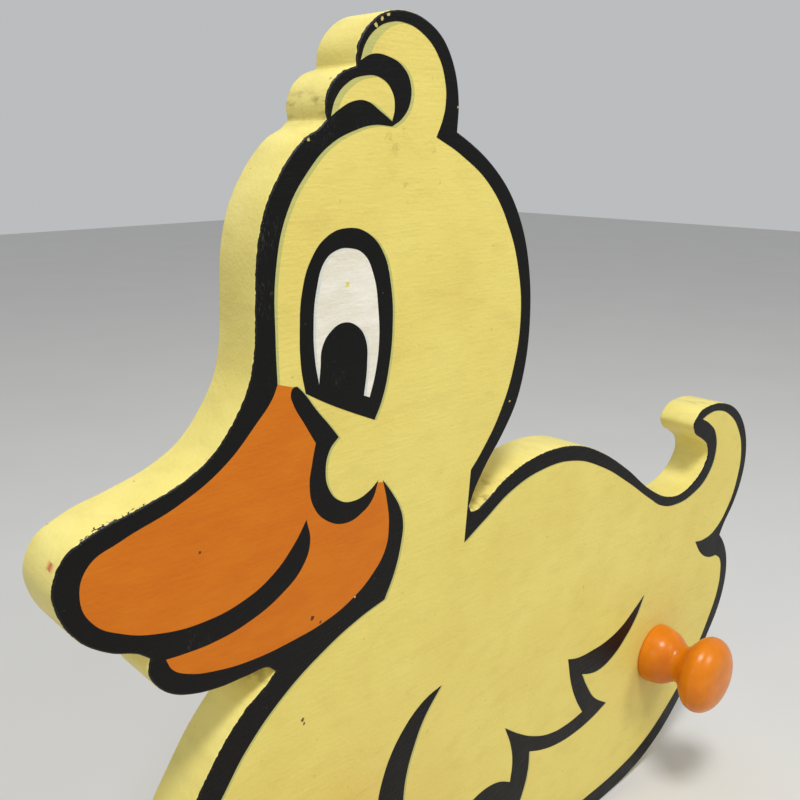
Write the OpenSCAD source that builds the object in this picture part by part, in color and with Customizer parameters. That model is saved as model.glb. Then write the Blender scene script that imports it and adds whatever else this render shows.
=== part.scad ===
// Duckling peg rack: a scroll-sawn painted board with turned coat pegs on its
// face and two keyhole hangers let into its back.
// X runs to the right as seen from the front, Y runs into the wall, Z is up.
// The wall is the plane y = 0, and the origin lies on it halfway between the
// entry holes of the two hangers.

/* [Board] */
// Overall width of the board, beak tip to tail
board_w = 359; // [300:1:430]
// Overall height of the board, underside to top of the tuft
board_h = 338; // [282:1:405]
// Thickness of the board
board_t = 18; // [15:0.5:25]

/* [Pegs] */
// Length of a peg, from the board's face to the front of its head
peg_len = 36; // [32:0.5:50]
// Diameter of the peg's head
peg_head_d = 36; // [30:0.5:46]
// Diameter of the neck, where a coat loop hangs
peg_neck_d = 18; // [14:0.5:22]
// Diameter of the foot, where it stands on the board
peg_foot_d = 28; // [26:0.5:34]
// Length of the foot, from the board's face to the neck
peg_foot_len = 12; // [9:0.5:14]
// Distance from a peg's axis to the widest point of the body on its side
peg_inset = 68; // [50:1:82]
// Height of the pegs above the underside of the board
peg_z = 64.5; // [50:0.5:78]

/* [Peg screws] */
// Outside diameter of the screw that holds a peg
peg_screw_d = 4; // [3.5:0.1:5]
// Length of the screw that holds a peg
peg_screw_len = 40; // [32:1:46]
// Diameter of its countersunk head
peg_screw_head_d = 8; // [7:0.1:9.6]

/* [Hangers] */
// Distance between the two hangers
hanger_spacing = 130; // [105:1:156]
// Width of a hanger plate
plate_w = 16; // [15:0.5:20]
// Thickness of a hanger plate
plate_t = 1.5; // [1.2:0.1:2.5]
// Diameter of the entry hole that passes over a wall screw's head
entry_d = 9; // [7.5:0.1:11]
// Width of the narrow slot that the wall screw's shank rises into
slot_w = 4.6; // [3.8:0.1:5.6]
// Rise from the entry hole's centre to the centre of the slot's upper end
slot_rise = 12; // [10:0.5:15]
// Depth behind the plate for the wall screw's head
pocket_depth = 8; // [6:0.5:10]
// Outside diameter of the small screws that fix a plate
fix_screw_d = 3; // [2.5:0.1:3.5]
// Length of the small screws
fix_screw_len = 12; // [8:0.5:13.5]
// Diameter of their countersunk heads
fix_screw_head_d = 5.8; // [5:0.1:6.4]

/* [Fits] */
// Clearance all round a plate in its recess
recess_gap = 0.2; // [0.05:0.05:0.5]
// Clearance round a screw in its hole
thread_gap = 0.05; // [0.02:0.01:0.1]
// Clearance round a head in its pocket, and past the tip of a screw
pocket_gap = 1.5; // [1:0.1:2]

/* [Hidden] */
$fn = 64;

yellow = [0.90, 0.82, 0.42];
orange = [0.93, 0.48, 0.12];
zinc = [0.72, 0.73, 0.74];

// The outline is drawn once on a sheet of this size and stretched to the
// board's own width and height. Drawn x is 0 near the middle, drawn z is 0 at
// the underside.
drawn_w = 359;
drawn_h = 338;
sx = board_w / drawn_w;
sz = board_h / drawn_h;

// Steps between two neighbouring points of the outline
outline_steps = 6;

// The outline, clockwise as seen from the front. Each run is one smooth curve
// that starts at a sharp inside corner and ends where the next run starts.
back_and_tail = [
    [-30.5, 179], [-29.5, 176.7], [-26.5, 176.3], [-22, 178.2], [-14, 182.8], [0, 187.5], [17, 188.9],
    [35, 186], [52, 178.5], [70, 167.2], [90, 152.5], [104, 145.3], [115, 143], [127, 145.3],
    [136, 151], [139.6, 157], [138, 162.5], [132, 167], [125.5, 171], [123.4, 175.5], [127.5, 180.3],
    [139, 182.3], [153, 180.3], [165, 174.8], [174, 166], [179, 156], [180.4, 145], [178, 133.5],
    [171.5, 122], [163.5, 113], [160.8, 108.7]
];
right_side_and_underside = [
    [160.8, 108.7], [165.5, 103.5], [170, 96], [172.3, 86], [171.3, 75], [167, 64], [158, 51.5],
    [146, 36.5], [133, 23.3], [119, 12.8], [103, 5.4], [86, 1.4], [68, 0]
];
left_side_and_chest = [
    [-52, 0], [-72, 2.2], [-93, 8.5], [-115, 20], [-134, 36], [-147, 54], [-154, 73],
    [-155.5, 92], [-151, 109.5], [-144, 120.8], [-134, 134.3], [-125, 142.7], [-118.5, 146.6],
    [-115.3, 149.5]
];
lower_beak = [
    [-115.3, 149.5], [-117.5, 151.7], [-125, 152.3], [-134, 152.6], [-142, 154.1], [-148.5, 156.8],
    [-153.2, 161.2], [-155.6, 166.6], [-154.8, 170.6]
];
upper_beak_and_brow = [
    [-154.8, 170.6], [-157.5, 172.9], [-165, 176.4], [-172.5, 182.4], [-177, 190], [-178.4, 198.5],
    [-175, 206], [-167, 210.3], [-154, 213.5], [-142, 217], [-133, 221.8], [-125.5, 229.8],
    [-120, 239], [-117.6, 249], [-116.6, 262], [-115.4, 275], [-111.9, 286.6], [-107.2, 294.5],
    [-103.2, 299.4], [-98.6, 303.5], [-93.2, 306.4], [-91.3, 308.2]
];
small_curl = [
    [-91.3, 308.2], [-91.7, 312], [-89.8, 317], [-86, 320.4], [-80.6, 322.4]
];
big_curl = [
    [-80.6, 322.4], [-80, 327.5], [-76.5, 332.6], [-71, 336.4], [-63.5, 338], [-54.5, 336.6],
    [-46.5, 331.8], [-41.5, 324], [-39.3, 314], [-39.8, 305.3]
];
crown_and_nape = [
    [-39.8, 305.3], [-36, 303.4], [-25, 296.7], [-14, 286.5], [-6, 273], [-1.8, 258], [-0.6, 243],
    [-2.2, 226], [-6.8, 212], [-14, 201.5], [-22, 192.5], [-28, 184], [-30.5, 179]
];
outline_runs = [
    back_and_tail, right_side_and_underside, left_side_and_chest, lower_beak,
    upper_beak_and_brow, small_curl, big_curl, crown_and_nape
];

// The widest points of the body, left and right, at the height of the pegs
body_left_x = -155.5 * sx;
body_right_x = 172.3 * sx;
peg_x = [body_left_x + peg_inset, body_right_x - peg_inset];

// The hangers sit a little above the middle of the body
hanger_mid_x = -5 * sx;
hanger_z = 122 * sz;
hanger_x = [hanger_mid_x - hanger_spacing / 2, hanger_mid_x + hanger_spacing / 2];

// Bars of metal left between the keyhole and the fixing screws' heads
plate_bar = 2.5;
fix_head_r = fix_screw_head_d / 2;
upper_fix_z = slot_rise + slot_w / 2 + plate_bar + fix_head_r;
lower_fix_z = -(entry_d / 2 + plate_bar + fix_head_r);

// Lengths along a peg: the slope from its foot down to its neck, the neck, the
// flare of the head's back, and the dome of its front
peg_slope = 1.1;
peg_neck_len = 4.1;
peg_flare = 7.8;
peg_dome = 2.7;
// How much the foot's radius shrinks from the board to the neck
peg_foot_taper = 1.6;
// Radii that round the peg's corners, from the board to the front
round_foot_edge = 0.6;
round_foot_end = 2.6;
round_neck_start = 1.2;
round_neck_end = 2.6;
round_head_back = 5;
round_head_front = 6.6;

// Depth of a peg screw's head below the back of the board
head_sink = 0.4;
// Shape of every screw, as shares of its outside diameter
thread_pitch = 0.45;
thread_depth = 0.2;
tip_len = 1.1;
// Share of the length under the head that has no thread
plain_shank = 0.3;
// Cross recess: length and width as shares of the head's diameter, and depth
// as a share of the countersink's
cross_len = 0.62;
cross_width = 0.14;
cross_depth = 0.8;
// Overlap that lets a cut come out clean
eps = 0.01;

// ---- curves ----

// Direction of a smooth curve at point i of the list p
function heading(p, i) =
    let (n = len(p) - 1)
    i == 0 ? (p[1] - p[0]) / norm(p[1] - p[0]) :
    i == n ? (p[n] - p[n - 1]) / norm(p[n] - p[n - 1]) :
    let (a = norm(p[i] - p[i - 1]), b = norm(p[i + 1] - p[i]))
    ((p[i] - p[i - 1]) * b / a + (p[i + 1] - p[i]) * a / b) / (a + b);

// Point at share t of the way from point i to point i + 1
function along(p, i, t) =
    let (d = norm(p[i + 1] - p[i]), m0 = heading(p, i) * d, m1 = heading(p, i + 1) * d)
    p[i] * (2 * t ^ 3 - 3 * t ^ 2 + 1) + m0 * (t ^ 3 - 2 * t ^ 2 + t)
    + p[i + 1] * (3 * t ^ 2 - 2 * t ^ 3) + m1 * (t ^ 3 - t ^ 2);

function smooth_run(p) =
    [for (i = [0:len(p) - 2]) for (k = [0:outline_steps - 1]) along(p, i, k / outline_steps)];

function unit(v) = v / norm(v);

// Arc of radius r that rounds the corner b of the path a, b, c
function rounded_corner(a, b, c, r, steps = 8) =
    let (
        u = unit(a - b), v = unit(c - b),
        half = acos(u * v) / 2,
        centre = b + unit(u + v) * r / sin(half),
        from = b + u * r / tan(half) - centre,
        to = b + v * r / tan(half) - centre,
        start = atan2(from[1], from[0]),
        turn = (atan2(to[1], to[0]) - start + 540) % 360 - 180
    )
    [for (k = [0:steps]) centre + r * [cos(start + turn * k / steps), sin(start + turn * k / steps)]];

// A path of [x, y, radius] corners with each corner rounded to its radius
function rounded_path(p) =
    [for (i = [0:len(p) - 1])
        let (xy = [p[i][0], p[i][1]])
        each p[i][2] == 0 ? [xy] :
            rounded_corner([p[i - 1][0], p[i - 1][1]], xy, [p[i + 1][0], p[i + 1][1]], p[i][2])];

// ---- board ----

module duck_outline() {
    // a run that ends away from the next one's start is closed by a straight edge
    scale_xy = [for (run = outline_runs) [for (q = run) [q[0] * sx, q[1] * sz]]];
    points = [for (run = scale_xy) each concat(smooth_run(run), [run[len(run) - 1]])];
    // neighbouring runs share their end point, so a repeated point is left out
    polygon([for (i = [0:len(points) - 1])
        if (norm(points[i] - points[(i + 1) % len(points)]) > eps) points[i]]);
}

// Moves a shape drawn from the underside of the board into the rack's frame
module from_underside() {
    translate([-hanger_mid_x, 0, -hanger_z]) children();
}

// Turns a shape that is drawn on XY and built up along Z so that it stands on
// the wall plane and builds up towards the front
module towards_front() {
    rotate([90, 0, 0]) children();
}

module at_peg(side) {
    from_underside() translate([peg_x[side], 0, peg_z]) children();
}

module at_hanger(side) {
    from_underside() translate([hanger_x[side], 0, hanger_z]) children();
}

module duck_board() {
    color(yellow) difference() {
        from_underside() towards_front() linear_extrude(board_t) duck_outline();
        for (side = [0, 1]) {
            at_peg(side) screw_hole(peg_screw_d, board_t + eps, peg_screw_head_d, head_sink);
            at_hanger(side) {
                plate_recess();
                for (z = [lower_fix_z, upper_fix_z])
                    translate([0, 0, z])
                        screw_hole(fix_screw_d, fix_screw_len + thread_gap, fix_screw_head_d, 0);
            }
        }
    }
}

// Cuts a hole for a countersunk screw driven from the wall plane to the front
module screw_hole(d, depth, head_d, sink) {
    cone = (head_d - d) / 2;
    towards_front() {
        translate([0, 0, -eps]) cylinder(d = d + 2 * thread_gap, h = depth + eps);
        if (sink > 0) translate([0, 0, -eps]) cylinder(d = head_d + 2 * thread_gap, h = sink + eps);
        translate([0, 0, sink])
            cylinder(d1 = head_d + 2 * thread_gap, d2 = d + 2 * thread_gap, h = cone);
    }
}

// Recess that lets the plate lie flush, and the pocket for a wall screw's head
module plate_recess() {
    pocket_d = entry_d + 2 * pocket_gap;
    towards_front() {
        translate([0, 0, -eps]) plate_blank(recess_gap, plate_t + eps);
        round_slot(pocket_d, slot_rise, plate_t + pocket_depth);
    }
}

// ---- hangers ----

// Flat bar with round ends, grown all round by a clearance
module plate_blank(gap, thick) {
    half = plate_w / 2 + gap;
    translate([-half, lower_fix_z, 0]) cube([2 * half, upper_fix_z - lower_fix_z, thick]);
    for (y = [lower_fix_z, upper_fix_z]) translate([0, y, 0]) cylinder(r = half, h = thick);
}

// Cuts a slot with round ends from the entry hole's centre up to a rise
module round_slot(d, rise, depth) {
    translate([-d / 2, 0, -eps]) cube([d, rise, depth + eps]);
    for (y = [0, rise]) translate([0, y, -eps]) cylinder(d = d, h = depth + eps);
}

module hanger_plate(side) {
    sink = (fix_screw_head_d - fix_screw_d) / 2;
    color(zinc) at_hanger(side) difference() {
        towards_front() plate_blank(0, plate_t);
        towards_front() {
            translate([0, 0, -eps]) cylinder(d = entry_d, h = plate_t + 2 * eps);
            round_slot(slot_w, slot_rise, plate_t + eps);
            for (y = [lower_fix_z, upper_fix_z]) translate([0, y, 0]) {
                translate([0, 0, -eps])
                    cylinder(d = fix_screw_d + 2 * thread_gap, h = plate_t + 2 * eps);
                translate([0, 0, -eps])
                    cylinder(d1 = fix_screw_head_d + 2 * (thread_gap + eps),
                             d2 = fix_screw_d + 2 * thread_gap, h = sink + eps);
            }
        }
    }
}

module left_hanger_plate() { hanger_plate(0); }
module right_hanger_plate() { hanger_plate(1); }

// ---- screws ----

// Countersunk screw with its head's flat face on the wall plane and its tip
// towards the front. The thread is a row of rings.
module screw(d, length, head_d) {
    cone = (head_d - d) / 2;
    pitch = d * thread_pitch;
    root = d / 2 - d * thread_depth;
    tip = tip_len * d;
    thread_from = cone + (length - cone) * plain_shank;
    rings = floor((length - tip - thread_from) / pitch);
    thread = [for (i = [0:rings - 1]) each [
        [root, thread_from + i * pitch],
        [d / 2, thread_from + (i + 0.5) * pitch]
    ]];
    profile = concat(
        [[0, 0], [head_d / 2, 0], [d / 2, cone], [d / 2, thread_from - pitch / 2]],
        thread,
        [[root, thread_from + rings * pitch], [root, length - tip], [0, length]]
    );
    towards_front() difference() {
        rotate_extrude() polygon(profile);
        for (turn = [0, 90]) rotate([0, 0, turn])
            translate([-head_d * cross_len / 2, -head_d * cross_width / 2, -eps])
                cube([head_d * cross_len, head_d * cross_width, cone * cross_depth + eps]);
    }
}

module peg_screw(side) {
    color(zinc) at_peg(side) translate([0, -head_sink, 0])
        screw(peg_screw_d, peg_screw_len, peg_screw_head_d);
}

module hanger_screw(side, z) {
    color(zinc) at_hanger(side) translate([0, 0, z])
        screw(fix_screw_d, fix_screw_len, fix_screw_head_d);
}

module left_peg_screw() { peg_screw(0); }
module right_peg_screw() { peg_screw(1); }
module left_hanger_upper_screw() { hanger_screw(0, upper_fix_z); }
module left_hanger_lower_screw() { hanger_screw(0, lower_fix_z); }
module right_hanger_upper_screw() { hanger_screw(1, upper_fix_z); }
module right_hanger_lower_screw() { hanger_screw(1, lower_fix_z); }

// ---- pegs ----

// Turned peg: a slightly tapered foot, a waist and a flattened round head
module peg(side) {
    foot_r = peg_foot_d / 2;
    neck_r = peg_neck_d / 2;
    head_r = peg_head_d / 2;
    neck_start = peg_foot_len + peg_slope;
    neck_end = neck_start + peg_neck_len;
    profile = rounded_path([
        [0, 0, 0],
        [foot_r, 0, round_foot_edge],
        [foot_r - peg_foot_taper, peg_foot_len, round_foot_end],
        [neck_r, neck_start, round_neck_start],
        [neck_r, neck_end, round_neck_end],
        [head_r, neck_end + peg_flare, round_head_back],
        [head_r, peg_len - peg_dome, round_head_front],
        [0, peg_len, 0]
    ]);
    bore_depth = peg_screw_len + head_sink + pocket_gap;
    color(orange) at_peg(side) difference() {
        translate([0, -board_t, 0]) towards_front() rotate_extrude() polygon(profile);
        towards_front() cylinder(d = peg_screw_d + 2 * thread_gap, h = bore_depth);
    }
}

module left_peg() { peg(0); }
module right_peg() { peg(1); }

duck_board();
left_peg();
right_peg();
left_peg_screw();
right_peg_screw();
left_hanger_plate();
right_hanger_plate();
left_hanger_upper_screw();
left_hanger_lower_screw();
right_hanger_upper_screw();
right_hanger_lower_screw();
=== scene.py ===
# %% [markdown]
# # A duckling peg rack
#
# A nursery coat rack is a board sawn to a friendly shape, painted, printed
# with black line work and fitted with turned pegs. The CAD model already
# holds every solid at its real size. This lesson dresses that model: it
# rounds the sawn edges, prints the drawing on the face, turns the pegs and
# gives each surface its paint, ink, bare wood or zinc.
#
# Everything is in metres, in the frame of the CAD model: X runs to the
# right as seen from the front, Y into the wall and Z up.

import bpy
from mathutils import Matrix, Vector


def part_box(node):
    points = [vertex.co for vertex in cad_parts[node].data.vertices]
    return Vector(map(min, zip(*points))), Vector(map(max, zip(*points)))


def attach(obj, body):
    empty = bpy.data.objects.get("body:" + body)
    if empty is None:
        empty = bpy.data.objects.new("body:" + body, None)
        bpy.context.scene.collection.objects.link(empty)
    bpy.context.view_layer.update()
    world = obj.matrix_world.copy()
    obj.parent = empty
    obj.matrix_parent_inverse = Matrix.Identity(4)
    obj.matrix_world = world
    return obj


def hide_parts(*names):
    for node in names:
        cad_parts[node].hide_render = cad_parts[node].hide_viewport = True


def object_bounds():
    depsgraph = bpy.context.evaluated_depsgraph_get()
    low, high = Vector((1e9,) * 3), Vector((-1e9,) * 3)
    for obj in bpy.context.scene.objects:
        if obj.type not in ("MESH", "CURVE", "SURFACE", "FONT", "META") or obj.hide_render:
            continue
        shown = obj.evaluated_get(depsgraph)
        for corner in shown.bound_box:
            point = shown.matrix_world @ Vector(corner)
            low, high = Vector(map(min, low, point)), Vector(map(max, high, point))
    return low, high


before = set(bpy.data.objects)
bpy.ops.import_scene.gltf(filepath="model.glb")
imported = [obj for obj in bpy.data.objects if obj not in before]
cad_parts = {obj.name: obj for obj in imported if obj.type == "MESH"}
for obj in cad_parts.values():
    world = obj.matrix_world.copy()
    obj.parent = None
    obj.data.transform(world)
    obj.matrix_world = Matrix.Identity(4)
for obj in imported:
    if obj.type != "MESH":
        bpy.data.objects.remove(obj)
print("CAD nodes:", ", ".join(sorted(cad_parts)))

# %% Keep the size of the CAD model
import math

import bmesh
import bpy
from mathutils import Vector

MM = 0.001
cad_low, cad_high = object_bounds()
print("CAD box in mm:", [round(side / MM, 1) for side in cad_high - cad_low])

# %% [markdown]
# ## Camera
#
# The rack stands on a table and is seen from its left, a little from above
# and from close by, so the beak looms and the tail shrinks. The camera is
# level, which keeps upright lines upright only in the middle of the view. A
# short lens close to the board gives the strong perspective. A longer lens
# from further away would flatten it.

# %% Place the camera
camera_place = Vector((-0.245, -0.2167, 0.180))
camera_heading = Vector((0.6567, 0.7024, -0.2745))

bpy.ops.object.camera_add(location=camera_place)
camera = bpy.context.object
camera.rotation_euler = camera_heading.to_track_quat("-Z", "Y").to_euler()
camera.data.sensor_width = 36
camera.data.lens = 40.5
camera.data.clip_start = 0.01
bpy.context.scene.camera = camera
print("Camera lens, mm:", camera.data.lens)

# %% [markdown]
# ## Light
#
# The room is bright and even. A pale world gives the even part. Two windows,
# one in front of the board and a smaller one at its left, stand a third of
# the way up the sky: each leaves a soft glint on the turned pegs, and the
# front one models their round heads. A stronger lamp above, a little to the
# front and left, lifts the sawn edges that look up and drops a short soft
# shadow below each peg.

# %% Light the room
SKY = (0.80, 0.82, 0.84, 1)
SKY_STRENGTH = 0.62


def add_lamp(name, place, target, size, power):
    """A square soft lamp at place that shines at target."""
    place = Vector(place)
    aim = (Vector(target) - place).to_track_quat("-Z", "Y").to_euler()
    bpy.ops.object.light_add(type="AREA", location=place, rotation=aim)
    lamp = bpy.context.object
    lamp.name = name
    lamp.data.size = size
    lamp.data.energy = power
    print(name, "gives", power, "W from", round(place.length, 2), "m")


bpy.context.scene.view_settings.view_transform = "Standard"
world = bpy.data.worlds.new("pale_room")
bpy.context.scene.world = world
world.use_nodes = True
sky_sockets = world.node_tree.nodes["Background"].inputs
sky_sockets["Color"].default_value = SKY
sky_sockets["Strength"].default_value = SKY_STRENGTH

rack_middle = (cad_low + cad_high) / 2
add_lamp("front_window", (0.28, -1.1, 0.66), rack_middle, size=0.30, power=3.8)
add_lamp("left_window", (-1.1, -0.12, 0.58), rack_middle, size=0.20, power=0.8)
add_lamp("ceiling_softbox", (-0.22, -0.36, 1.15), rack_middle, size=0.30, power=9.6)

# %% [markdown]
# ## How a finish is made
#
# A finish is a small network of nodes. Noise gives the unevenness that every
# paint, ink and metal has, arithmetic shapes it, and mixing turns it into
# colour or gloss. All patterns start from Object coordinates, so they are
# measured in metres and keep their real size on every piece. The helpers
# below each add one such step and return what comes out of it, so that a
# finish reads from top to bottom.

# %% Start a finish and feed it
def start_material(name, roughness, shine=0.3):
    """A new material, with its shader and the place of each point on the piece."""
    material = bpy.data.materials.new(name)
    material.use_nodes = True
    tree = material.node_tree
    shader = tree.nodes["Principled BSDF"]
    shader.inputs["Roughness"].default_value = roughness
    shader.inputs["Specular IOR Level"].default_value = shine
    place = tree.nodes.new("ShaderNodeTexCoord").outputs["Object"]
    return material, tree, shader, place


def add_node(tree, kind, sockets, **settings):
    """A node whose sockets take either a number, a colour or another node's output."""
    made = tree.nodes.new(kind)
    for setting, value in settings.items():
        setattr(made, setting, value)
    for socket, value in sockets.items():
        if isinstance(value, bpy.types.NodeSocket):
            tree.links.new(value, made.inputs[socket])
        else:
            made.inputs[socket].default_value = value
    return made


def set_socket(tree, shader, socket, value):
    """Feeds one socket of the shader."""
    tree.links.new(value, shader.inputs[socket])


print("A finish can be started")

# %% Patterns, arithmetic and bumps
def noise(tree, place, size, detail=2.0, stretch=(1, 1, 1)):
    """Cloudy noise from 0 to 1 whose blobs are about size metres across."""
    stretched = add_node(tree, "ShaderNodeMapping", {"Vector": place, "Scale": stretch})
    return add_node(tree, "ShaderNodeTexNoise", {
        "Vector": stretched.outputs["Vector"], "Scale": 1 / size, "Detail": detail,
    }).outputs["Fac"]


def between(tree, value, low, high, to_low=0.0, to_high=1.0):
    """Turns value into to_low up to low, and to_high from high on."""
    return add_node(tree, "ShaderNodeMapRange", {
        "Value": value, "From Min": low, "From Max": high, "To Min": to_low, "To Max": to_high,
    }).outputs["Result"]


def patches(tree, place, size, low, high, most=1.0, detail=4.0, stretch=(1, 1, 1)):
    """Patches about size metres across: 0 where the noise is below low, most above high."""
    return between(tree, noise(tree, place, size, detail, stretch), low, high, 0, most)


def sums(tree, operation, first, second):
    """One step of arithmetic on two values."""
    return add_node(tree, "ShaderNodeMath", {0: first, 1: second}, operation=operation).outputs[0]


def mix(tree, share, under, over):
    """Colour that goes from under to over as share goes from 0 to 1."""
    return add_node(tree, "ShaderNodeMixRGB", {
        "Fac": share, "Color1": under, "Color2": over,
    }).outputs["Color"]


def emboss(tree, shader, height, depth):
    """Lets a height from 0 to 1 stand depth metres proud as a bump."""
    bump = add_node(tree, "ShaderNodeBump", {"Height": height, "Distance": depth})
    set_socket(tree, shader, "Normal", bump.outputs["Normal"])


EVENLY = (0.35, 0.65)
print("Patches set to", EVENLY, "cover about half of a surface")

# %% [markdown]
# ## Table
#
# The rack stands on its flat underside, so the table top is at the lowest
# point of the CAD model. A plain pale sheet is enough. It gets a fine
# mottling, because a perfectly even grey looks like a hole in the picture.

# %% Lay the table top
TABLE_SIZE = 6.0
TABLE_PALE = (0.66, 0.65, 0.63, 1)
TABLE_DULL = (0.62, 0.61, 0.59, 1)


def make_table_finish():
    material, tree, shader, place = start_material("pale_table", roughness=0.7)
    mottling = noise(tree, place, 0.12)
    set_socket(tree, shader, "Base Color", mix(tree, mottling, TABLE_DULL, TABLE_PALE))
    return material


bpy.ops.mesh.primitive_plane_add(size=TABLE_SIZE, location=(0, 0, cad_low.z))
table = bpy.context.object
table.name = "table_top"
table.data.materials.append(make_table_finish())
print("Table top at", round(cad_low.z / MM, 1), "mm")

# %% [markdown]
# ## Working by hand
#
# Every piece below is made the way it would be at the desk: add something
# simple, go into edit mode, pick edges or faces by where they are, and
# shape them. A few small helpers save repeating that. Loading the CAD model
# leaves its nodes selected, so selecting one piece alone comes first.

# %% Selecting and editing
def only(piece):
    """Selects one piece alone and makes it the active one."""
    bpy.ops.object.select_all(action="DESELECT")
    piece.select_set(True)
    bpy.context.view_layer.objects.active = piece


def start_edit(piece, parts):
    """Opens a piece in edit mode with nothing selected, ready to pick parts."""
    only(piece)
    bpy.ops.object.mode_set(mode="EDIT")
    bpy.ops.mesh.select_mode(type=parts)
    bpy.ops.mesh.select_all(action="DESELECT")


def pick(piece, parts, test):
    """In edit mode, selects the edges or faces for which test is true."""
    mesh = bmesh.from_edit_mesh(piece.data)
    chosen = [part for part in getattr(mesh, parts) if test(part)]
    for part in chosen:
        part.select_set(True)
    bmesh.update_edit_mesh(piece.data)
    return len(chosen)


def merge_doubles(gap):
    """In edit mode, joins all corners that are closer together than gap."""
    bpy.ops.mesh.select_all(action="SELECT")
    bpy.ops.mesh.remove_doubles(threshold=gap)


def end_edit():
    """Leaves edit mode."""
    bpy.ops.object.mode_set(mode="OBJECT")


def shade(piece, sharpest):
    """Shades a piece smooth, except at edges that turn more than sharpest degrees."""
    only(piece)
    bpy.ops.object.shade_smooth_by_angle(angle=math.radians(sharpest))


def settle(piece):
    """Puts a piece's place into its mesh and leaves its object at the origin."""
    only(piece)
    bpy.ops.object.transform_apply(location=True, rotation=True, scale=True)


print("Editing helpers are ready")

# %% [markdown]
# ## Yellow paint
#
# The board is dipped or sprayed in a satin yellow. On the real thing it is
# never one flat colour: the coat is a little thin here and thick there, it
# shows a faint orange peel, the grain of the wood telegraphs through as
# short level streaks, and dust nibs dry into it. The sawn sides took the
# paint differently and are a paler lemon than the face, so the board has
# two paints, and bare wood where the recesses were cut.
#
# Places for wear, grime and painted shade are given on the drawing sheet:
# millimetres from the sheet's middle line and up from the underside, as for
# the artwork later.

# %% Measure on the drawing sheet
SHEET_LEFT = -178.5
board_low, board_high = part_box("duck_board")


def on_board(x, z):
    """Turns millimetres on the drawing sheet into the frame's x and z in metres."""
    return board_low.x + (x - SHEET_LEFT) * MM, board_low.z + z * MM


def colour(red, green, blue):
    """A colour as a paint chart gives it, 0 to 255, made linear for the shader."""
    def linear(value):
        share = value / 255
        return share / 12.92 if share <= 0.04045 else ((share + 0.055) / 1.055) ** 2.4
    return (linear(red), linear(green), linear(blue), 1)


print("Sheet's middle line is at x =", round(on_board(0, 0)[0] / MM, 1), "mm")

# %% Masks for wear, grime and painted shade
def spot(tree, place, x, z, reach):
    """1 at a point of the drawing sheet, falling to 0 at reach millimetres from it."""
    flat = add_node(tree, "ShaderNodeVectorMath", {0: place, 1: (1, 0, 1)}, operation="MULTIPLY")
    board_x, board_z = on_board(x, z)
    gap = add_node(tree, "ShaderNodeVectorMath", {
        0: flat.outputs["Vector"], 1: (board_x, 0, board_z)}, operation="DISTANCE")
    return between(tree, gap.outputs["Value"], 0, reach * MM, 1, 0)


def spots(tree, place, marks):
    """The strongest of several spots, each given as x, z and reach."""
    total = spot(tree, place, *marks[0])
    for mark in marks[1:]:
        total = sums(tree, "MAXIMUM", total, spot(tree, place, *mark))
    return total


def worn(tree, place, marks, size, bite=0.5):
    """Ragged flecks of the given size that crowd round each mark, fewer for a larger bite."""
    ragged = sums(tree, "ADD", spots(tree, place, marks), noise(tree, place, size, 3))
    threshold = 0.9 + bite * 0.2
    return between(tree, ragged, threshold, threshold + 0.1)


print("Wear masks are ready")

# %% Mix the paint for the face
FACE_YELLOW = colour(226, 208, 111)
FACE_YELLOW_THIN = colour(221, 201, 104)
NIB = colour(186, 165, 84)
NICK_BROWN = colour(112, 82, 38)
DENT_OLIVE = colour(192, 172, 88)
PEEL_DEPTH = 0.10 * MM
face_nicks = [(-106, 128.4, 1.5), (-105.5, 126.8, 1.2)]
face_dents = [(-66.2, 300.6, 2.6), (-68.5, 303.5, 2.2), (-50.2, 299.7, 1.5), (-62, 290, 1.4)]


def add_paint_relief(tree, shader, place):
    """Orange peel, and short level streaks of grain that show through the coat."""
    peel = noise(tree, place, 1.3 * MM, 2)
    streaks = noise(tree, place, 0.8 * MM, 2, stretch=(0.12, 1, 1))
    emboss(tree, shader, sums(tree, "ADD", peel, streaks), PEEL_DEPTH)


def make_face_paint():
    material, tree, shader, place = start_material("yellow_face_paint", roughness=0.5)
    thick = patches(tree, place, 28 * MM, *EVENLY)
    coat = mix(tree, thick, FACE_YELLOW_THIN, FACE_YELLOW)
    nibs = patches(tree, place, 2.4 * MM, 0.76, 0.82, most=0.55, detail=1)
    coat = mix(tree, nibs, coat, NIB)
    cloudy = patches(tree, place, 6 * MM, 0.5, 0.75, most=0.22, stretch=(0.5, 1, 1))
    coat = mix(tree, cloudy, coat, DENT_OLIVE)
    ragged = patches(tree, place, 1.2 * MM, 0.4, 0.6)
    dented = sums(tree, "MULTIPLY", spots(tree, place, face_dents), ragged)
    coat = mix(tree, dented, coat, DENT_OLIVE)
    coat = mix(tree, worn(tree, place, face_nicks, 0.8 * MM), coat, NICK_BROWN)
    set_socket(tree, shader, "Base Color", coat)
    add_paint_relief(tree, shader, place)
    return material


face_paint = make_face_paint()
print("Mixed", face_paint.name)
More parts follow.
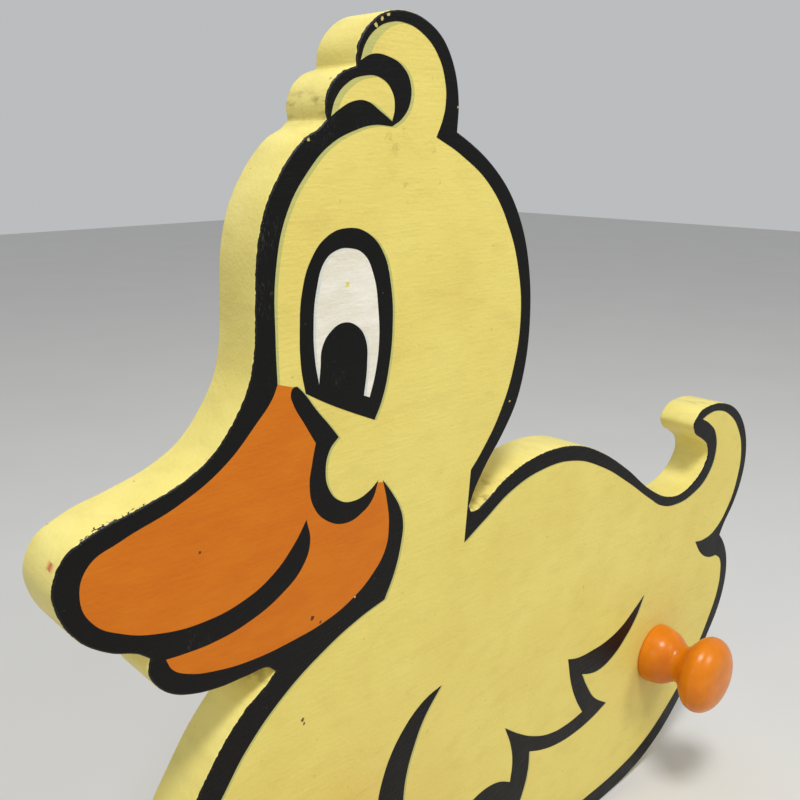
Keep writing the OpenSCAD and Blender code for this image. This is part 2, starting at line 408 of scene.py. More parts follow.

# %% [markdown]
# The sides need more. The black ink was rolled over the rounded arris and
# stops raggedly a few tenths of a millimetre down it, with a scuffed patch on
# the brow of the beak. Brown grime sits in the notch behind the neck and under
# the curl of the tail. The same brown is painted shade in the hollow under the
# beak, and it also darkens the notch beside the tuft. Something red has rubbed
# off on the tip of the beak.

# %% Mix the paint for the sides
SIDE_YELLOW = colour(232, 217, 128)
SIDE_YELLOW_THIN = colour(224, 207, 114)
GRIME_AND_SHADE = colour(128, 104, 50)
STAIN = colour(204, 188, 104)
RED_RUB = colour(196, 96, 60)
INK_BLACK = colour(13, 12, 11)
INK_OVER_ARRIS = 0.18 * MM
INK_RAGGED = 0.3 * MM
# Brown spots: grime in the neck notch and at the tail, painted shade in the hollow under the
# beak, and a darkened notch beside the tuft.
grime_and_shade_spots = [(-31, 174, 14), (-22, 180, 12), (138, 178, 7), (-92, 312, 6), (-118, 152, 9)]
scuffed_brow = [(-165, 210.5, 9), (-156, 213.0, 6)]
rubbed = [(-176.3, 203.4, 2.1)]
RUB_DEPTH = 3.5 * MM
RUB_WIDTH = 2.2 * MM
SCUFF_DEPTH = 2.2 * MM
INK_EDGE = 0.08 * MM
GRIME_AND_SHADE_COVER = 0.85
SIDE_ROUGHNESS = 0.46
INK_ROUGHNESS = 0.40


def side_coat(tree, place, depth):
    """Lemon paint with its stains, grime, painted shade in the hollow under the beak, specks and
    the red rub.
    """
    thick = patches(tree, place, 22 * MM, *EVENLY)
    coat = mix(tree, thick, SIDE_YELLOW_THIN, SIDE_YELLOW)
    stained = patches(tree, place, 5 * MM, 0.45, 0.8, most=0.5, detail=5, stretch=(1, 0.4, 1))
    coat = mix(tree, stained, coat, STAIN)
    streaky = patches(tree, place, 2.6 * MM, 0.47, 0.66, detail=5, stretch=(1, 0.35, 1))
    # Brown streaks round those spots: grime, and painted shade under the beak.
    grime_and_shade = sums(tree, "MULTIPLY", spots(tree, place, grime_and_shade_spots), streaky)
    coat = mix(tree, sums(tree, "MULTIPLY", grime_and_shade, GRIME_AND_SHADE_COVER), coat, GRIME_AND_SHADE)
    specks = patches(tree, place, 2.2 * MM, 0.77, 0.81, most=0.6, detail=1)
    coat = mix(tree, specks, coat, GRIME_AND_SHADE)
    off = sums(tree, "ABSOLUTE", sums(tree, "SUBTRACT", depth, RUB_DEPTH), 0)
    in_band = between(tree, off, 0, RUB_WIDTH, 1, 0)
    rub = sums(tree, "MULTIPLY", worn(tree, place, rubbed, 0.8 * MM, bite=0.0), in_band)
    return mix(tree, rub, coat, RED_RUB)


def ink_over_arris(tree, place, depth):
    """1 where the black ink came over the arris, and further down where it scuffed."""
    ragged = patches(tree, place, 1.6 * MM, 0.25, 0.75, most=INK_RAGGED, detail=2)
    limit = sums(tree, "ADD", ragged, INK_OVER_ARRIS)
    torn = patches(tree, place, 1.0 * MM, 0.50, 0.64, most=SCUFF_DEPTH)
    scuff = sums(tree, "MULTIPLY", spots(tree, place, scuffed_brow), torn)
    limit = sums(tree, "ADD", limit, scuff)
    return between(tree, sums(tree, "SUBTRACT", limit, depth), 0, INK_EDGE)


def make_side_paint():
    material, tree, shader, place = start_material("yellow_side_paint", SIDE_ROUGHNESS)
    y = add_node(tree, "ShaderNodeSeparateXYZ", {"Vector": place}).outputs["Y"]
    depth = sums(tree, "SUBTRACT", y, board_low.y)
    coat = side_coat(tree, place, depth)
    ink = ink_over_arris(tree, place, depth)
    set_socket(tree, shader, "Base Color", mix(tree, ink, coat, INK_BLACK))
    set_socket(tree, shader, "Roughness", between(tree, ink, 0, 1, SIDE_ROUGHNESS, INK_ROUGHNESS))
    add_paint_relief(tree, shader, place)
    return material


side_paint = make_side_paint()
print("Mixed", side_paint.name)

# %% Bare wood for the cuts
WOOD_PALE = colour(214, 180, 132)
WOOD_DARK = colour(176, 136, 88)


def make_bare_wood():
    material, tree, shader, place = start_material("bare_pine", roughness=0.75)
    rings = add_node(tree, "ShaderNodeTexWave", {
        "Vector": place, "Scale": 90, "Distortion": 3.0, "Detail": 3.0,
    }, bands_direction="Z").outputs["Fac"]
    fibres = noise(tree, place, 0.6 * MM, 3, stretch=(0.05, 1, 1))
    grain = sums(tree, "MULTIPLY", rings, fibres)
    set_socket(tree, shader, "Base Color", mix(tree, grain, WOOD_PALE, WOOD_DARK))
    emboss(tree, shader, fibres, depth=0.05 * MM)
    return material


bare_wood = make_bare_wood()
print("Mixed", bare_wood.name)

# %% [markdown]
# ## The sawn board
#
# The board's outline, its screw holes and the recesses in its back have to
# be exactly where the CAD model has them, so the board isn't drawn again:
# it starts as a copy of the CAD solid. That copy is loose triangles. Merging
# its doubles joins them, and a limited dissolve turns each flat stretch back
# into one clean face. The CAD's arrises are razor sharp, and the real ones
# were sanded round before painting, so they get a bevel of four steps.

# %% Copy the board's solid
SAME_CORNER = 0.002 * MM
SAME_PLANE = math.radians(0.05)


def copy_node(node, name):
    """A new piece with the shape of a CAD node, its loose triangles joined."""
    piece = bpy.data.objects.new(name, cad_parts[node].data.copy())
    bpy.context.scene.collection.objects.link(piece)
    piece.data.materials.clear()
    start_edit(piece, "EDGE")
    merge_doubles(SAME_CORNER)
    bpy.ops.mesh.dissolve_limited(angle_limit=SAME_PLANE)
    end_edit()
    return piece


board = copy_node("duck_board", "painted_board")
print("Board copied with", len(board.data.polygons), "faces")

# %% [markdown]
# A face takes its paint from its place. The recesses, pockets and screw
# holes were cut after painting, so their walls are bare wood: they are all
# the faces that neither lie flat on the front or back nor reach right
# through the board. They are marked now, while each face is still whole.

# %% Leave the cuts bare
NEAR = 0.01 * MM
SQUARE_ON = 0.9999
PAINTS = [face_paint, side_paint, bare_wood]


def is_at(corner, depth):
    return abs(corner.co.y - depth) < NEAR


def is_flat_on(face, depth):
    return abs(face.normal.y) > SQUARE_ON and all(is_at(corner, depth) for corner in face.verts)


def is_sawn_wall(face):
    """A face of the outline reaches from the front of the board to its back."""
    return (any(is_at(corner, board_low.y) for corner in face.verts)
            and any(is_at(corner, board_high.y) for corner in face.verts))


def is_flat_side(face):
    return is_flat_on(face, board_low.y) or is_flat_on(face, board_high.y)


def is_cut(face):
    return not (is_flat_side(face) or is_sawn_wall(face))


def paint_picked(piece, paint):
    """Gives the faces picked in edit mode one of the piece's paints."""
    piece.active_material_index = PAINTS.index(paint)
    bpy.ops.object.material_slot_assign()


for paint in PAINTS:
    board.data.materials.append(paint)
start_edit(board, "FACE")
bpy.ops.mesh.select_all(action="SELECT")
paint_picked(board, side_paint)
bpy.ops.mesh.select_all(action="DESELECT")
cuts = pick(board, "faces", is_cut)
paint_picked(board, bare_wood)
end_edit()
print(cuts, "faces of bare wood")

# %% Round the sawn arrises
ARRIS = 0.6 * MM
ARRIS_STEPS = 4


def is_arris(edge):
    lies_flat = any(all(is_at(corner, depth) for corner in edge.verts)
                    for depth in (board_low.y, board_high.y))
    return lies_flat and any(is_sawn_wall(face) for face in edge.link_faces)


start_edit(board, "EDGE")
arrises = pick(board, "edges", is_arris)
bpy.ops.mesh.bevel(offset=ARRIS, segments=ARRIS_STEPS, profile=0.5, affect="EDGES")
end_edit()
print(arrises, "edges rounded to", ARRIS / MM, "mm")

# %% [markdown]
# A bevel that runs straight into a huge flat face shades badly: the slant of
# the last bevel step bleeds across the whole face. A very thin inset frames
# each flat face, so that only the frame carries that slant. The flat front
# then takes the face paint.

# %% Frame and paint the flat faces
FRAME_W = 0.25 * MM
start_edit(board, "FACE")
pick(board, "faces", is_flat_side)
bpy.ops.mesh.inset(thickness=FRAME_W, depth=0)
bpy.ops.mesh.select_all(action="DESELECT")
pick(board, "faces", lambda face: is_flat_on(face, board_low.y))
paint_picked(board, face_paint)
end_edit()
shade(board, sharpest=35)
print("Board has", len(board.data.polygons), "faces")

# %% [markdown]
# The black line work will fill the board's face right up to where the
# rounding starts. Its outer edge is therefore the border of the flat front
# face, and it is read from the board itself: the border's edges are chained
# into loops, and the widest loop is the outline. The other loops are the
# screw holes under the pegs.

# %% Find the border of the flat front
def loops_round(edges):
    """Chains edges into closed loops of points."""
    neighbours = {}
    for edge in edges:
        for corner in edge.verts:
            neighbours.setdefault(corner.index, []).append(edge.other_vert(corner))
    loops = []
    used = set()
    for edge in edges:
        corner = edge.verts[0]
        if corner.index in used:
            continue
        loop = []
        while corner is not None:
            used.add(corner.index)
            loop.append(corner.co.copy())
            ahead = [other for other in neighbours[corner.index] if other.index not in used]
            corner = ahead[0] if ahead else None
        loops.append(loop)
    return loops


def loop_width(loop):
    return max(point.x for point in loop) - min(point.x for point in loop)


sheet = bmesh.new()
sheet.from_mesh(board.data)
flat_front = {face for face in sheet.faces if is_flat_on(face, board_low.y)}
border = [edge for edge in sheet.edges
          if sum(face in flat_front for face in edge.link_faces) == 1]
front_border = max(loops_round(border), key=loop_width)
sheet.free()
print("Front border has", len(front_border), "points and is",
      round(loop_width(front_border) / MM, 1), "mm wide")

# %% [markdown]
# ## Screen-printed artwork
#
# The drawing on the face is ink, printed one colour after another: orange
# for the beak, white for the eye, and black line work last. Ink could be
# painted on the board with masks, but then its edges would only be as sharp
# as the texture they are baked into. Here each colour is a real film, a few
# hundredths of a millimetre thick, cut from a flat curve, so every edge is
# crisp from any distance and the thick black ink catches the light.
#
# A flat curve fills itself between its closed lines, and a line inside
# another makes a hole. A shape is written as runs: each run starts at a
# sharp corner and is smooth up to the corner where the next run starts.
# Blender's vector handles make the corners and its automatic handles make
# the smooth points, so only the points that steer the line are needed.

# %% Turn runs of points into a line
SLIP_RIGHT = 0.9
SLIP_DOWN = 0.4
EYE_HEIGHT = 245
HEAD_STRETCH = 0.012
CREST_HEIGHT = 305
CREST_STRETCH = 0.06
CREST_MIDDLE = -55
FADE_WIDTH = 20
LEAST_SHARE = 0.05


def slipped(x, z):
    """Where a point of the first pass landed: right of its place, most at top left."""
    stretch = HEAD_STRETCH * max(0, z - EYE_HEIGHT) + CREST_STRETCH * max(0, z - CREST_HEIGHT)
    share = min(1, max(LEAST_SHARE, (CREST_MIDDLE - x) / FADE_WIDTH))
    return x + SLIP_RIGHT + stretch * share, z - SLIP_DOWN


def add_line(curve, runs, is_first_pass=False):
    """Adds one closed line, given as runs of points on the drawing sheet."""
    points = [(x, z, place == 0) for run in runs for place, (x, z) in enumerate(run)]
    line = curve.splines.new("BEZIER")
    line.bezier_points.add(len(points) - 1)
    line.use_cyclic_u = True
    for knot, (x, z, is_corner) in zip(line.bezier_points, points):
        if is_first_pass:
            x, z = slipped(x, z)
        board_x, board_z = on_board(x, z)
        knot.co = (board_x, board_z, 0)
        handle = "VECTOR" if is_corner else "AUTO"
        knot.handle_left_type = knot.handle_right_type = handle


def add_border(curve, border):
    """Adds the board's own outline, point by point."""
    line = curve.splines.new("POLY")
    line.points.add(len(border) - 1)
    line.use_cyclic_u = True
    for knot, place in zip(line.points, border):
        knot.co = (place.x, place.z, 0, 1)


print("The first pass slipped", SLIP_RIGHT, "mm right and", SLIP_DOWN, "mm down")

# %% Make a film of ink from closed lines
SMOOTH_STEPS = 10
SUNK = 0.01 * MM
SAME_INK_CORNER = 0.001 * MM


def print_film(name, shapes, thickness, ink, border=None, is_first_pass=False):
    """Prints closed shapes on the board's face as a film of ink."""
    bpy.ops.object.add(type="CURVE")
    film = bpy.context.object
    film.name = name
    film.data.dimensions = "2D"
    film.data.fill_mode = "BOTH"
    film.data.resolution_u = SMOOTH_STEPS
    film.data.extrude = (thickness + SUNK) / 2
    if border:
        add_border(film.data, border)
    for runs in shapes:
        add_line(film.data, runs, is_first_pass)
    only(film)
    bpy.ops.object.convert(target="MESH")
    film.rotation_euler.x = math.pi / 2
    film.location.y = board_low.y + SUNK - (thickness + SUNK) / 2
    settle(film)
    start_edit(film, "FACE")
    merge_doubles(SAME_INK_CORNER)
    bpy.ops.mesh.normals_make_consistent(inside=False)
    end_edit()
    film.data.materials.append(ink)
    print(name, "has", len(film.data.polygons), "faces")
    return film


print("A film starts", SUNK / MM, "mm inside the board")

# %% [markdown]
# ### Inks
#
# Black ink is nearly black with a soft sheen. It is the top layer, so it
# takes the knocks: pale yellow chips where the arris was hit, fine grey
# rubs, and a dusting of specks. Orange covers well and is a little blotchy.
# The white of the eye has yellowed.
#
# The black was printed twice. The first pass landed about a millimetre to
# the right, and two or three at the top left, where the screen had
# stretched. Its edge still shows through the later colours as a thin
# grey-green shadow on the right of each black line.

# %% Mix the inks
INK_ORANGE = colour(205, 112, 12)
INK_ORANGE_THIN = colour(200, 106, 10)
INK_WHITE = colour(232, 227, 212)
INK_WHITE_AGED = colour(220, 213, 193)
GHOST_OLIVE = colour(182, 181, 108)
GHOST_OLIVE_THIN = colour(190, 186, 109)
GHOST_GREY = colour(202, 205, 196)
GHOST_GREY_THIN = colour(210, 210, 198)
CHIP = colour(200, 178, 108)
DUST = colour(96, 93, 86)
SPECK_BROWN = colour(92, 50, 18)
SPECK_YELLOW = colour(214, 206, 96)
RUB_COVER = 0.5
black_chips = [(-73.2, 333.2, 1.5), (-71, 335.1, 1.3), (-68.6, 336.4, 1.4), (-39.8, 312.5, 1.2),
               (-68.5, 266, 1.0), (-97.6, 302.9, 1.1), (-10.8, 213.5, 1.0), (-84, 163, 0.9)]
black_rubs = [(-108, 239, 7), (-113, 262, 7), (-94, 306.5, 8), (-88, 236, 4), (-76, 303, 7),
              (-140, 168, 7), (-115, 280, 9)]
orange_specks = [(-101, 162, 1.5), (-98, 159.5, 1.0), (-138, 196, 0.9)]
white_specks = [(-85, 263, 1.5)]


def make_black_ink():
    material, tree, shader, place = start_material("black_ink", roughness=0.42, shine=0.15)
    scratches = patches(tree, place, 0.35 * MM, 0.58, 0.74, detail=3, stretch=(0.7, 1, 0.2))
    rubbed_here = sums(tree, "MULTIPLY", spots(tree, place, black_rubs), scratches)
    tone = mix(tree, sums(tree, "MULTIPLY", rubbed_here, RUB_COVER), INK_BLACK, DUST)
    dust = patches(tree, place, 1.1 * MM, 0.80, 0.84, most=0.5, detail=1)
    tone = mix(tree, dust, tone, DUST)
    tone = mix(tree, worn(tree, place, black_chips, 0.55 * MM, bite=0.8), tone, CHIP)
    set_socket(tree, shader, "Base Color", tone)
    smudge = noise(tree, place, 9 * MM, 3)
    set_socket(tree, shader, "Roughness", between(tree, smudge, 0.3, 0.7, 0.36, 0.46))
    add_paint_relief(tree, shader, place)
    return material


def make_flat_ink(name, thick, thin, specks, speck_colour):
    """An even ink with a slightly blotchy coat and a few specks of dirt."""
    material, tree, shader, place = start_material(name, roughness=0.5, shine=0.2)
    covered = patches(tree, place, 5 * MM, 0.36, 0.64, detail=7, stretch=(0.4, 1, 1))
    tone = mix(tree, covered, thin, thick)
    tone = mix(tree, worn(tree, place, specks, 0.7 * MM), tone, speck_colour)
    set_socket(tree, shader, "Base Color", tone)
    add_paint_relief(tree, shader, place)
    return material


black_ink = make_black_ink()
orange_ink = make_flat_ink(
    "orange_ink", INK_ORANGE, INK_ORANGE_THIN, orange_specks, SPECK_BROWN)
white_ink = make_flat_ink(
    "white_ink", INK_WHITE, INK_WHITE_AGED, white_specks, SPECK_YELLOW)
ghost_ink = make_flat_ink(
    "ghost_on_yellow", GHOST_OLIVE, GHOST_OLIVE_THIN, face_nicks, NICK_BROWN)
ghost_white_ink = make_flat_ink(
    "ghost_on_white", GHOST_GREY, GHOST_GREY_THIN, white_specks, GHOST_OLIVE)
print("Mixed five inks")

# %% [markdown]
# ### Black line work
#
# The heavy outline is everything between the border of the face and one
# long inner line. The inner line goes round the whole duckling once,
# clockwise from the small curl: tuft, head, back, tail, rump, belly, chest,
# jaw, mouth, beak and brow. The lower left of the body and the bottom of
# the wing carry on at the same weight as the rest.

# %% Draw the inner line of the outline
tuft = [(-79, 323.8), (-77.1, 328.3), (-73.2, 332.2), (-68.3, 334.3), (-62, 334.6), (-55, 332.2),
        (-49, 327), (-45.7, 319.5), (-45.4, 313.3), (-46.6, 308.8)]
back_of_head = [(-49.2, 303.7), (-37.9, 298.3), (-24.2, 288.7), (-14.2, 274.9), (-8.3, 259.5),
                (-6.3, 243.7), (-8.8, 227), (-15.8, 210.3), (-25.8, 197)]
nape = [(-30.4, 192.4)]
back = [(-33, 165.7), (-22, 171.5), (-8, 178.5), (10, 182.3), (30, 181), (50, 173.3), (70, 161.5),
        (90, 148), (100, 142), (112, 139), (128, 140), (141, 146), (147, 156.5), (145, 167),
        (138.5, 173)]
tail = [(131, 177), (137, 178.4), (145, 178.3), (157, 174), (168, 164.5), (174.3, 151),
        (173, 136), (166, 122.5), (154, 113), (144, 111.3)]
rump = [(135.5, 112.5), (142, 104.5), (150, 99.6), (157, 98.2)]
belly = [(158, 98.2), (163.4, 94), (165.5, 86), (164.4, 76), (158, 63), (140, 40), (120, 24),
         (100, 14), (80, 9.7), (55, 8.4), (-52, 8.2), (-71, 10), (-91, 16), (-111, 27),
         (-128.5, 41.5), (-140.5, 58), (-146.8, 75), (-148, 92), (-144.5, 106), (-136, 116.5),
         (-127, 128), (-113, 140), (-97, 149), (-82, 154.8)]
jaw_outside = [(-71.3, 157.4), (-66.8, 165.8), (-63.8, 175.3), (-62.9, 182), (-64.2, 187.8),
               (-67.5, 193.7)]
jaw_inside = [(-71.7, 199.5), (-70, 192), (-69.2, 183), (-70.8, 175.3), (-77, 167.9),
              (-85.8, 162.4), (-96, 159), (-108, 157.4), (-123.3, 157), (-135, 158.6),
              (-144.2, 161.6), (-148.6, 164.8)]
mouth_below = [(-150.3, 168.6), (-144, 168), (-136, 167.8), (-124.2, 169.5), (-112, 174.2),
               (-104, 180.5), (-101, 187.5)]
beak = [(-102.1, 194.9), (-106.7, 188.7), (-115, 181.3), (-125, 176.9), (-138.3, 175.2),
        (-151.7, 177), (-162, 181.1), (-169, 186.6), (-171.7, 194.5), (-168.8, 202.3),
        (-160, 206.2), (-143.3, 211.2), (-129.2, 218.3), (-118, 228.2), (-112.5, 234.1)]
brow = [(-110.6, 237.8), (-110.7, 250), (-109.8, 268.7), (-105.4, 284.2), (-97.4, 295.4),
        (-90.2, 301.6), (-81.3, 305.4), (-74.2, 306.9)]
curl_shadow = [(-67.3, 306.6), (-63.2, 309), (-60.2, 313.3), (-60.2, 319), (-63, 322.9),
               (-68, 325.2), (-74.6, 325.7)]
inner_line = [tuft, back_of_head, nape, back, tail, rump, belly, jaw_outside, jaw_inside,
              mouth_below, beak, brow, curl_shadow]
small_curl = [
    [(-89.8, 308.9), (-88.2, 313.3), (-84, 317.6), (-78, 319.8), (-71.5, 319.5), (-67.2, 316),
     (-66.3, 311.5)],
    [(-67.3, 308), (-71.5, 310.5), (-77.1, 313.3), (-82, 313), (-86.5, 311)],
]
print("The inner line has", len(inner_line), "corners")

# %% Draw the strokes inside the outline
cheek = [
    [(-103.9, 236.0), (-101.6, 233.6), (-97.3, 227.8), (-92.5, 222)],
    [(-89.3, 217.8), (-92.7, 214.6), (-94.5, 208.5), (-93.3, 202), (-89, 197.2), (-83, 195.8),
     (-77.5, 197.3)],
    [(-73.6, 199.9), (-76.2, 194.2), (-80.8, 190.8), (-87, 189.4), (-94, 192), (-99.2, 198),
     (-100.6, 205), (-99.4, 212)],
    [(-97.9, 217.8), (-101.6, 224.2), (-105.6, 231.4), (-106.2, 234.2), (-105.2, 235.9)],
]
eye_outline = [
    [(-101, 233.4), (-102.3, 241), (-102.4, 252), (-101.3, 262), (-98, 270.8), (-92, 277),
     (-84.2, 278.9), (-76.8, 276.9), (-71, 271), (-68, 261.2), (-67.3, 249), (-69, 235.5),
     (-72, 225.6)],
    [(-75, 220.1), (-86.7, 225.6), (-95, 229.9)],
]
eye_white = [
    [(-96.1, 235.1), (-97.3, 242), (-97.6, 252), (-96.2, 262.5), (-93, 270.3), (-89.2, 272.8),
     (-84, 273.2), (-78.5, 271), (-75, 265), (-73.1, 254), (-73, 243.5), (-74.6, 234.5)],
    [(-76.9, 227.7)],
    [(-79.2, 228.7), (-77.8, 238), (-78.3, 246), (-81.5, 250.3), (-86.7, 252), (-91.5, 250),
     (-94.6, 246), (-95.5, 240)],
]
wing_front = [
    [(-43.6, 112.5), (-50.5, 111), (-57, 107.8), (-62.5, 103.3), (-68, 96.8), (-72.3, 88.5),
     (-75, 79), (-75.6, 68), (-72.5, 55), (-65, 43.5), (-54, 34.5), (-42, 29)],
    [(-30, 27), (-42, 32), (-52, 40), (-59, 51), (-62.6, 63), (-62.6, 75), (-60.9, 84.5),
     (-57.5, 93.5), (-52.3, 103)],
]
wing_feathers = [
    [(34, 90), (41, 87.8), (52, 86.9), (63, 87.2), (74, 89.8), (84, 95)],
    [(91.5, 99.5), (86, 90.5), (78, 82.8), (68, 76.8), (58, 74.6), (50, 76)],
    [(45, 78), (49.5, 69.8), (55.5, 61.5)],
    [(65.5, 54), (54, 51), (40, 49.7), (28, 50.6), (18, 53.2)],
    [(10, 56.5), (9.6, 48), (7, 39)],
    [(1, 28), (-8, 35), (-19, 39.5), (-30, 41)],
    [(-41, 43), (-33, 49), (-25, 52), (-17, 53.2), (-9, 51.8)],
    [(-2, 48), (-1, 57), (-2.5, 66)],
    [(-6.5, 76), (2, 69.3), (12, 63), (24, 58.3), (36, 57)],
    [(47, 58), (42, 66), (37.5, 76)],
]
line_work = [inner_line, small_curl, cheek, eye_outline, eye_white, wing_front, wing_feathers]
print("The line work has", len(line_work), "closed lines")

# %% [markdown]
# ### Printing order
#
# A film that lies over another is a little thicker, so later colours come
# out on top. The orange and the grey ground of the eye run under the black
# lines, as printers trap one colour under another, so their edges are
# hidden there. The white of the eye keeps to its own line, shifted by the
# same slip as the first pass, which leaves a grey sliver on its left.

# %% Print the colours
GHOST_FILM = 0.02 * MM
COLOUR_FILM = 0.04 * MM
WHITE_FILM = 0.055 * MM
BLACK_FILM = 0.08 * MM
beak_colour = [
    [(-110.6, 237.8)],
    [(-104.6, 235.8), (-101, 228), (-93.5, 218.5), (-97.3, 210), (-97, 202), (-92, 194.5),
     (-85, 191.9), (-78.5, 194)],
    [(-73.9, 199.2)],
    [(-71.6, 198.8), (-67.5, 190), (-66, 180), (-68.5, 171), (-75, 163), (-86, 158.3),
     (-103, 155), (-122, 154.6), (-138, 155.8), (-149, 160.5), (-153, 166), (-153.5, 171.5),
     (-160, 177), (-170, 182), (-174.8, 190), (-174.8, 199.5), (-168, 206.5), (-152, 210.8),
     (-138, 216.5), (-126, 223.5), (-117, 232.5), (-113.5, 238)],
]
films = [
    print_film("ghost_print", line_work, GHOST_FILM, ghost_ink, front_border, is_first_pass=True),
    print_film("beak_print", [beak_colour], COLOUR_FILM, orange_ink),
    print_film("eye_ground_print", [eye_outline], COLOUR_FILM, ghost_white_ink),
    print_film("eye_white_print", [eye_white], WHITE_FILM, white_ink, is_first_pass=True),
    print_film("black_line_print", line_work, BLACK_FILM, black_ink, front_border),
]

# %% [markdown]
# ## Turned pegs
#
# A peg is a classic lathe shape: a foot that stands on the board, a short
# waist where the coat's loop hangs, and a flattened round head. Half of its
# outline is drawn once as an edge, point by point from the middle of the
# foot to the middle of the head, and spun round its axis. The automatic
# handles of a curve give it the soft transitions that sanding leaves. Both
# pegs are the same, so the right one is a copy of the left.

# %% Draw half of a peg's outline
PEG_RADIUS = 18.0
peg_profile = [
    [(0, 0)],
    [(13.5, 0), (14.0, 0.8), (13.9, 3), (13.5, 5.8), (12.7, 8.6), (11.5, 10.8), (10.1, 12.6),
     (9.2, 14.2), (9.0, 15.6), (9.5, 17.2), (11.2, 19.1), (14.2, 21.5), (16.8, 24.0),
     (17.9, 26.8), (17.6, 29.4), (15.9, 32.1), (12.6, 34.4), (7.5, 35.65), (3.4, 35.92)],
    [(0, 36)],
]

left_low, left_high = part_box("left_peg")
peg_middle = (left_low + left_high) / 2
peg_scale = (left_high.x - left_low.x) / 2 / PEG_RADIUS
bpy.ops.object.add(type="CURVE")
left_turned = bpy.context.object
left_turned.name = "left_turned_peg"
knots = [(radius, reach, place == 0)
         for run in peg_profile for place, (radius, reach) in enumerate(run)]
line = left_turned.data.splines.new("BEZIER")
line.bezier_points.add(len(knots) - 1)
for knot, (radius, reach, is_corner) in zip(line.bezier_points, knots):
    knot.co = (peg_middle.x + radius * peg_scale, left_high.y - reach * peg_scale, peg_middle.z)
    knot.handle_left_type = knot.handle_right_type = "VECTOR" if is_corner else "AUTO"
print("Half of the outline has", len(knots), "points")

# %% Spin it round
PEG_TURNS = 96
SAME_PEG_CORNER = 0.005 * MM
only(left_turned)
bpy.ops.object.convert(target="MESH")
start_edit(left_turned, "VERT")
bpy.ops.mesh.select_all(action="SELECT")
bpy.ops.mesh.spin(steps=PEG_TURNS, angle=math.tau, center=peg_middle, axis=(0, 1, 0))
merge_doubles(SAME_PEG_CORNER)
bpy.ops.mesh.normals_make_consistent(inside=False)
end_edit()
shade(left_turned, sharpest=40)
print(left_turned.name, "has", len(left_turned.data.polygons), "faces")

# %% [markdown]
# The pegs were dipped in a glossy orange enamel before they were fitted. It
# pools a little, so the colour is deeper in some places, and it is soft
# enough to follow the tool marks of the lathe as faint ripples.

# %% Enamel the peg
ENAMEL_DEEP = colour(207, 113, 12)
ENAMEL_PALE = colour(217, 124, 18)


def make_enamel():
    material, tree, shader, place = start_material("orange_enamel", roughness=0.26, shine=0.26)
    pale = patches(tree, place, 8 * MM, *EVENLY, detail=3)
    set_socket(tree, shader, "Base Color", mix(tree, pale, ENAMEL_DEEP, ENAMEL_PALE))
    emboss(tree, shader, noise(tree, place, 2.2 * MM, 2), depth=0.06 * MM)
    return material


left_turned.data.materials.append(make_enamel())
print(left_turned.name, "wears", left_turned.active_material.name)

# %% Copy it for the other side
def copy_across(piece, name, way):
    """A second piece with its own mesh, moved by way."""
    only(piece)
    bpy.ops.object.duplicate()
    twin = bpy.context.object
    twin.name = name
    bpy.ops.transform.translate(value=way)
    settle(twin)
    print(name, "is", round(way.length / MM, 1), "mm away from", piece.name)
    return twin


to_right_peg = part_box("right_peg")[0] - left_low
pegs = {
    "left_peg": left_turned,
    "right_peg": copy_across(left_turned, "right_turned_peg", to_right_peg),
}

# %% [markdown]
# ## Hangers and screws
#
# The plates and screws on the back are stock hardware, and the CAD solids
# already have their slots, countersinks and heads. One solid of each kind is
# copied and its sharp edges are broken by a tenth of a millimetre, as
# tumbling does, so they catch the light. The others of its kind are copies
# of that piece, moved to their own places. Plates are rolled steel with a
# dull zinc coat, and the screws are brighter. The zinc has the large pale
# flowers and the brushed streaks of a cheap coat.

# %% Make zinc finishes
PLATE_PALE = colour(188, 188, 184)
PLATE_DARK = colour(150, 150, 148)
SCREW_PALE = colour(206, 204, 194)
SCREW_DARK = colour(178, 176, 166)
DULL_COVER = 0.6


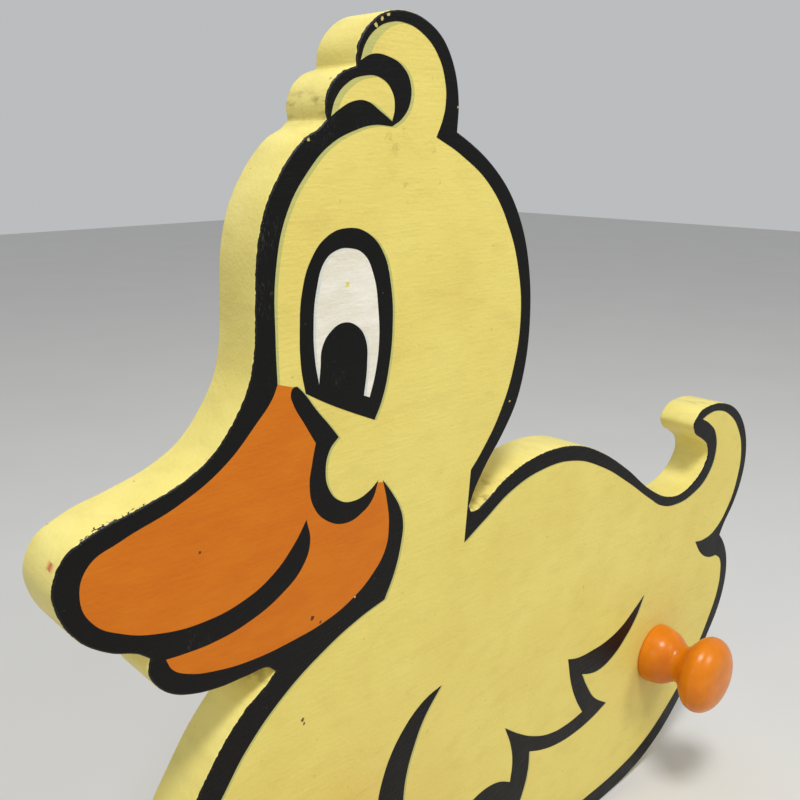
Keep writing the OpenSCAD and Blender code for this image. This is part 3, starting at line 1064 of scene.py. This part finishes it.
def make_zinc(name, roughness, pale, dark):
    material, tree, shader, place = start_material(name, roughness, shine=0.5)
    shader.inputs["Metallic"].default_value = 1.0
    flowers = add_node(tree, "ShaderNodeTexVoronoi", {"Vector": place, "Scale": 420.0})
    share = between(tree, flowers.outputs["Color"], 0.2, 0.8)
    dull = patches(tree, place, 3 * MM, 0.4, 0.7)
    bright = mix(tree, share, dark, pale)
    tone = mix(tree, sums(tree, "MULTIPLY", dull, DULL_COVER), bright, dark)
    set_socket(tree, shader, "Base Color", tone)
    rubbed_zinc = noise(tree, place, 1.2 * MM, 3, stretch=(0.2, 1, 1))
    set_socket(tree, shader, "Roughness", between(
        tree, rubbed_zinc, 0.3, 0.7, roughness - 0.08, roughness + 0.08))
    emboss(tree, shader, rubbed_zinc, depth=0.01 * MM)
    return material


plate_zinc = make_zinc("dull_zinc", 0.42, PLATE_PALE, PLATE_DARK)
screw_zinc = make_zinc("bright_zinc", 0.30, SCREW_PALE, SCREW_DARK)
print("Mixed", plate_zinc.name, "and", screw_zinc.name)

# %% Break the edges of the hardware
EASED = 0.1 * MM
SHARP = math.radians(40)


def is_sharp(edge):
    return len(edge.link_faces) == 2 and edge.calc_face_angle(0) > SHARP


def dress(node, finish):
    """Copies a CAD node of hardware, eases its sharp edges and gives it a finish."""
    piece = copy_node(node, "eased_" + node)
    start_edit(piece, "EDGE")
    picked = pick(piece, "edges", is_sharp)
    bpy.ops.mesh.bevel(offset=EASED, segments=2, affect="EDGES", clamp_overlap=True)
    end_edit()
    shade(piece, sharpest=35)
    piece.data.materials.append(finish)
    print(piece.name, "has", picked, "eased edges and", len(piece.data.polygons), "faces")
    return piece


kinds = [
    (plate_zinc, "left_hanger_plate", "right_hanger_plate"),
    (screw_zinc, "left_peg_screw", "right_peg_screw"),
    (screw_zinc, "left_hanger_upper_screw", "left_hanger_lower_screw",
     "right_hanger_upper_screw", "right_hanger_lower_screw"),
]
hardware = {}
for finish, first, *others in kinds:
    hardware[first] = dress(first, finish)
    for other in others:
        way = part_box(other)[0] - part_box(first)[0]
        hardware[other] = copy_across(hardware[first], "eased_" + other, way)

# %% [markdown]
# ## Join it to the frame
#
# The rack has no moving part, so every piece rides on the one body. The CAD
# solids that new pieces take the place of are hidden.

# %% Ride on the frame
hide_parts("duck_board")
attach(board, "root")
for film in films:
    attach(film, "root")
for node, peg in pegs.items():
    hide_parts(node)
    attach(peg, "root")
for node, piece in hardware.items():
    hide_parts(node)
    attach(piece, "root")
print("Pieces ride on the frame:", 1 + len(films) + len(pegs) + len(hardware))
